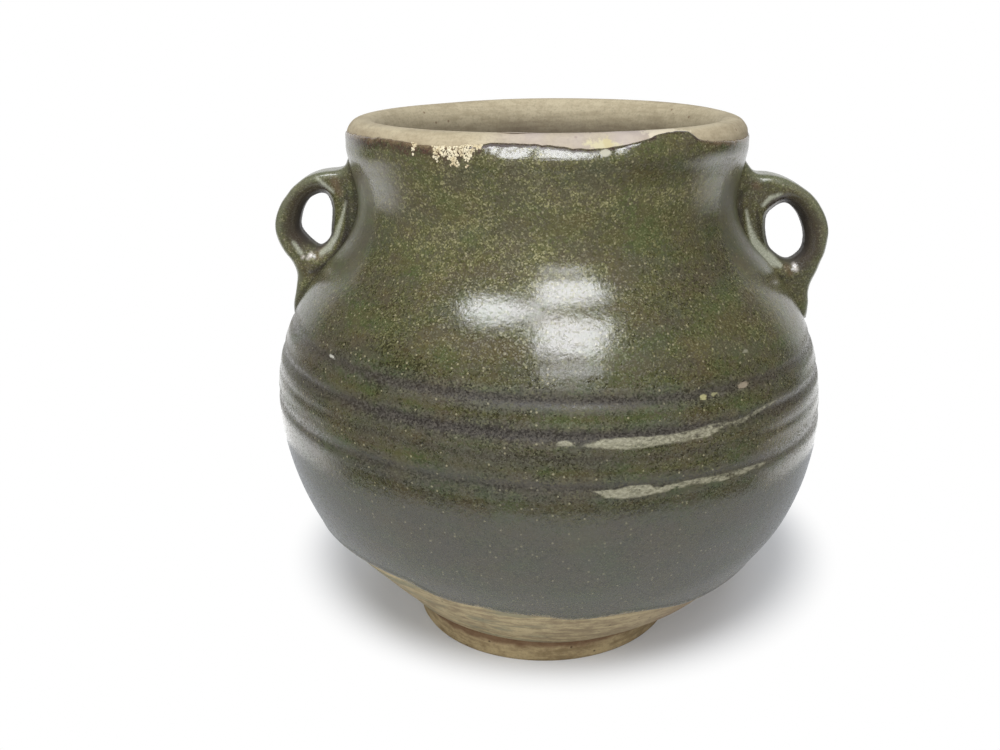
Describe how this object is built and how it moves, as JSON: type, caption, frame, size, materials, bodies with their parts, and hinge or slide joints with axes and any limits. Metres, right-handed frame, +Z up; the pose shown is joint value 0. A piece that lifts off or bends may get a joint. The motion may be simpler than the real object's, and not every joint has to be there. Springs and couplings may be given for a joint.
{
  "type": "two-eared storage jar",
  "caption": "Round-bellied thrown stoneware jar on a turned foot ring, with a wide collar neck, rolled lip and ring ears for a carrying cord.",
  "frame": {"origin": "centre of the foot ring's underside, on the jar's axis", "axes": "+Z up through the mouth, +X through the larger ear, +Y to the back of the pictured view"},
  "size_m": [0.1484, 0.1464, 0.14],
  "materials": {
    "buff_stoneware": "bare fired stoneware, matt and sandy, with a thin wash of glaze at the foot",
    "rim_stoneware": "bare fired stoneware lip, matt, with crusts and stains",
    "foot_stoneware": "turned bare stoneware, matt brown with dark specks",
    "olive_glaze": "glossy olive brown tea-dust glaze with fine pale speckles",
    "dark_lining": "thin satin brown glaze",
    "ear_glaze": "glossy olive brown glaze, thinner and browner on the edges"
  },
  "bodies": {
    "root": {"jar_body": "buff_stoneware", "neck_collar": "rim_stoneware", "foot_ring": "foot_stoneware", "outer_glaze": "olive_glaze", "inner_glaze": "dark_lining", "left_ear": "ear_glaze", "right_ear": "ear_glaze"}
  },
  "joints": []
}
